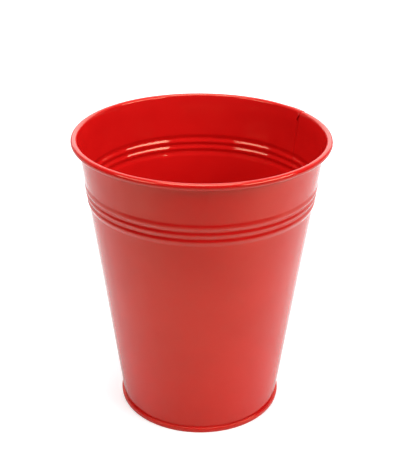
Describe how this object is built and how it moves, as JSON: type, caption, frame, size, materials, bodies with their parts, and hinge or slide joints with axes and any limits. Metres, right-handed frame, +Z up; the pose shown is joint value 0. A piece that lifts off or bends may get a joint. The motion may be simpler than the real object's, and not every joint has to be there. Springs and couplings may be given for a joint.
{
  "type": "florist bucket",
  "caption": "Tapered round bucket in painted sheet steel with a wired curled rim, rolled beads below it, a lapped side seam and a seamed-on bottom.",
  "frame": {"origin": "centre of the circle that the bucket stands on, at table height", "axes": "+Z up the bucket's axis, out of its mouth; the lap in the wall is 33 degrees from +X towards +Y"},
  "size_m": [0.18, 0.18, 0.2093],
  "materials": {
    "wall_paint": "smooth gloss red, baked on",
    "bottom_paint": "smooth gloss red, baked on",
    "wire_steel": "bright drawn wire",
    "sealing_compound": "matt, cured"
  },
  "bodies": {
    "root": {"wall_sheet": "wall_paint", "bottom_plate": "bottom_paint", "rim_wire": "wire_steel", "seam_compound": "sealing_compound"}
  },
  "joints": []
}
